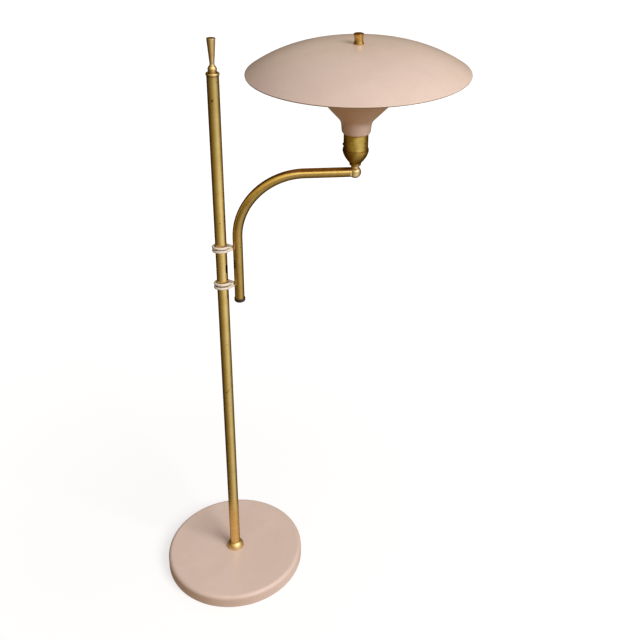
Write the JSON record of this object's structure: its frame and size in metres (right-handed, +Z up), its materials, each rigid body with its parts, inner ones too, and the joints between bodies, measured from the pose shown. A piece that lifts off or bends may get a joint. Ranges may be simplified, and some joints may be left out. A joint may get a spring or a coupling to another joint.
{
  "type": "bridge floor lamp",
  "caption": "Floor lamp on a weighted round base, with a bent arm that slides and swings on the pole in wire rings and carries a shallow saucer shade over a reflector funnel.",
  "frame": {"origin": "on the floor under the pole, at the centre of the base's felt face", "axes": "+Z up along the pole, +X from the pole towards the lamp head, +Y towards the back where the cord enters the base"},
  "size_m": [0.6129, 0.406, 1.2237],
  "materials": {
    "enamel": "satin warm pink-beige baked enamel",
    "iron": "rough cast",
    "felt": "dark felt",
    "steel": "zinc plated",
    "black_plastic": "moulded, dark brown-black",
    "brass": "polished, lightly aged",
    "antique_brass": "aged, mottled",
    "wire_sleeve": "pale sleeve over wire",
    "bush_liner": "thin sleeve, dull",
    "liner_card": "pressed fibre",
    "moulded_body": "moulded insulating body",
    "bulb_metal": "threaded cap",
    "bulb_glass": "frosted, opal"
  },
  "bodies": {
    "stand": {"base_shell": "enamel", "base_weight": "iron", "base_felt": "felt", "base_washer": "steel", "base_nut": "steel", "cord_inlet_bushing": "black_plastic", "pole_tie_rod": "steel", "pole_foot_plug": "brass", "foot_collar": "brass", "pole_foot_tube": "brass", "pole_lower_tube": "brass", "pole_slot_tube": "brass", "pole_upper_tube": "brass", "pole_top_plug": "brass", "pole_top_ring": "brass", "pole_spire": "brass"},
    "slider": {"upper_friction_bush": "bush_liner", "lower_friction_bush": "bush_liner"},
    "arm": {"arm_tube": "brass", "upper_wire_ring": "wire_sleeve", "lower_wire_ring": "wire_sleeve", "arm_end_bushing": "black_plastic", "arm_end_plug": "brass", "arm_nipple": "steel"},
    "head": {"ball_elbow": "brass", "neck_nipple": "steel", "neck_nut": "steel", "socket_cap": "antique_brass", "socket_shell": "antique_brass", "socket_liner": "liner_card", "socket_body": "moulded_body", "screw_shell": "brass", "centre_contact": "brass", "terminal_screws": "steel", "reflector_funnel": "enamel", "funnel_clamp_ring": "brass", "bulb_base": "bulb_metal", "bulb_glass": "bulb_glass", "shade_carrier": "steel", "carrier_screws": "steel", "carrier_nuts": "steel", "carrier_stud": "steel", "carrier_stud_nut": "steel", "fibre_washer": "liner_card", "shade_dome": "enamel", "shade_finial": "brass"},
    "key": {"switch_key": "black_plastic"}
  },
  "joints": [
    {"name": "arm_height", "type": "slide", "parent": "stand", "child": "slider", "axis": [0, 0, 1], "range_m": [-0.66, 0.32]},
    {"name": "arm_swing", "type": "hinge", "parent": "slider", "child": "arm", "pos_m": [0, 0, 0.7725], "axis": [0, 0, 1], "range_deg": [-150, 150]},
    {"name": "head_tilt", "type": "hinge", "parent": "arm", "child": "head", "pos_m": [0.256, 0, 0.962], "axis": [1, 0, 0], "range_deg": [-20, 20]},
    {"name": "switch_turn", "type": "hinge", "parent": "head", "child": "key", "pos_m": [0.2318, 0, 1.0186], "axis": [-1, 0, 0], "continuous": true}
  ]
}
